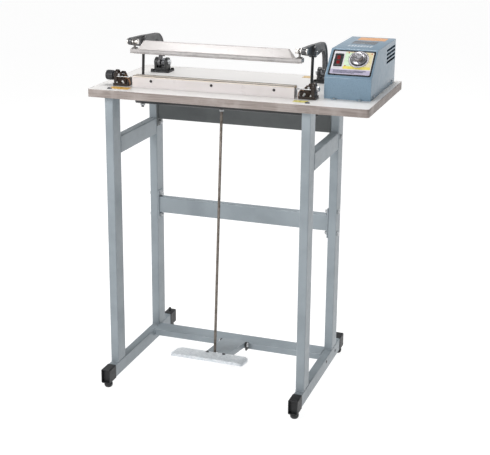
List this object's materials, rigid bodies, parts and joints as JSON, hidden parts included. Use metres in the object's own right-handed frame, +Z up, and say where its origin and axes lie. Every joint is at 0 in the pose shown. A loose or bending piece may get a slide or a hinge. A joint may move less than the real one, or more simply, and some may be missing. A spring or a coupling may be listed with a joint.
{
  "type": "foot pedal impulse heat sealer",
  "caption": "Free-standing impulse heat sealer: a pedal pulls rods that swing a spring-raised upper jaw down onto a heated lower jaw on a table with a control box.",
  "frame": {"origin": "on the floor under the middle of the table and of the floor rails", "axes": "+X to the operator's right, +Y from the operator to the back, +Z up"},
  "size_m": [0.8, 0.514, 1.018],
  "materials": {
    "blue_grey_paint": "semi-gloss powder coat",
    "black_plastic": "moulded, matt",
    "zinc_steel": "zinc plated",
    "dark_bolts": "blackened, domed",
    "white_laminate": "satin laminate",
    "taupe_edging": "grained edge band",
    "black_paint": "satin enamel",
    "spring_steel": "bright wire",
    "cast_arm": "painted casting, satin",
    "bright_steel": "turned and plated",
    "bronze": "aged, satin",
    "dark_steel": "dark plated",
    "brown_steel": "drawn bar, oiled",
    "aluminium_rail": "extruded, satin",
    "ivory_sheet": "stoved ivory enamel",
    "silicone": "matt",
    "pedal_aluminium": "embossed, worn",
    "mica_board": "woven board",
    "element_ribbon": "heat tinted",
    "ptfe_cloth": "woven cloth, waxy",
    "bakelite": "moulded",
    "knob_black": "moulded, fluted",
    "hammered_blue": "hammered enamel",
    "panel_film": "printed film",
    "red_lens": "translucent",
    "dial_metal": "turned",
    "board_green": "solder resist",
    "transformer_iron": "varnished stack"
  },
  "bodies": {
    "stand": {"left_front_leg": "blue_grey_paint", "right_front_leg": "blue_grey_paint", "left_rear_leg": "blue_grey_paint", "right_rear_leg": "blue_grey_paint", "side_rails": "blue_grey_paint", "floor_rails": "blue_grey_paint", "rail_end_caps": "black_plastic", "leveling_feet": "black_plastic", "bottom_beam": "blue_grey_paint", "mid_beam": "blue_grey_paint", "rear_apron": "blue_grey_paint", "frame_bolts": "zinc_steel", "leg_top_plates": "blue_grey_paint", "table_board": "white_laminate", "edge_band": "taupe_edging", "table_bolts": "dark_bolts", "left_pivot_bracket": "black_paint", "right_pivot_bracket": "black_paint", "bracket_screws": "zinc_steel", "arm_pivot_pins": "zinc_steel", "return_springs": "spring_steel", "pedal_hinge_lugs": "black_paint", "pedal_hinge_pin": "zinc_steel", "lower_jaw_bar": "aluminium_rail", "jaw_side_plates": "ivory_sheet", "plate_screws": "zinc_steel", "insulating_strip": "mica_board", "heating_element": "element_ribbon", "ptfe_cover": "ptfe_cloth", "terminal_bases": "bakelite", "terminal_clamps": "bronze", "terminal_screws": "zinc_steel", "box_base": "hammered_blue", "box_cover": "hammered_blue", "face_label": "panel_film", "rocker_housing": "black_plastic", "circuit_board": "board_green", "transformer": "transformer_iron", "fuse_holder": "black_plastic", "cable_gland": "black_plastic", "box_screws": "zinc_steel"},
    "head": {"left_arm": "cast_arm", "right_arm": "cast_arm", "arm_bushes": "bronze", "jaw_stub_shafts": "bright_steel", "arm_rod_pins": "zinc_steel"},
    "upper_jaw": {"upper_jaw_rail": "aluminium_rail", "upper_jaw_cover": "ivory_sheet", "silicone_strip": "silicone", "jaw_hangers": "dark_steel"},
    "pull_linkage": {"side_pull_rods": "black_paint", "tie_bar": "black_paint", "rod_nuts": "zinc_steel", "centre_rod": "brown_steel"},
    "pedal": {"pedal_tread": "pedal_aluminium", "pedal_arm": "blue_grey_paint", "pedal_cross_pin": "zinc_steel"},
    "rocker": {"power_rocker": "red_lens"},
    "timer_dial": {"timer_knob": "dial_metal"},
    "tension_dial": {"tension_knob": "knob_black"}
  },
  "joints": [
    {"name": "head_hinge", "type": "hinge", "parent": "stand", "child": "head", "pos_m": [-0.058, 0.119, 0.913], "axis": [1, 0, 0], "range_deg": [0, 14.2], "stiffness_Nm_per_rad": 14, "springref_deg": -48.7},
    {"name": "jaw_tilt", "type": "hinge", "parent": "head", "child": "upper_jaw", "pos_m": [-0.058, -0.107, 1.008], "axis": [1, 0, 0], "range_deg": [-14.3, 0.1]},
    {"name": "pull_rod_hinge", "type": "hinge", "parent": "head", "child": "pull_linkage", "pos_m": [-0.058, -0.018, 0.99], "axis": [1, 0, 0], "range_deg": [-13.39, 0.1]},
    {"name": "pedal_hinge", "type": "hinge", "parent": "stand", "child": "pedal", "pos_m": [-0.058, 0.064, 0.058], "axis": [1, 0, 0], "range_deg": [-0.1, 14.3]},
    {"name": "rocker_tilt", "type": "hinge", "parent": "stand", "child": "rocker", "pos_m": [0.2795, -0.06189, 0.98079], "axis": [1, 0, 0], "range_deg": [-17, 0]},
    {"name": "timer_turn", "type": "hinge", "parent": "stand", "child": "timer_dial", "pos_m": [0.3335, -0.06049, 0.98656], "axis": [0, -0.6915, 0.7224], "range_deg": [0, 270]},
    {"name": "tension_turn", "type": "hinge", "parent": "stand", "child": "tension_dial", "pos_m": [-0.36, -0.123, 0.912], "axis": [-1, 0, 0], "continuous": true}
  ],
  "couplings": [
    {"joint": "jaw_tilt", "follows": "head_hinge", "ratio": -1},
    {"joint": "pull_rod_hinge", "follows": "head_hinge", "ratio": -0.936},
    {"joint": "pedal_hinge", "follows": "head_hinge", "ratio": 0.995}
  ]
}
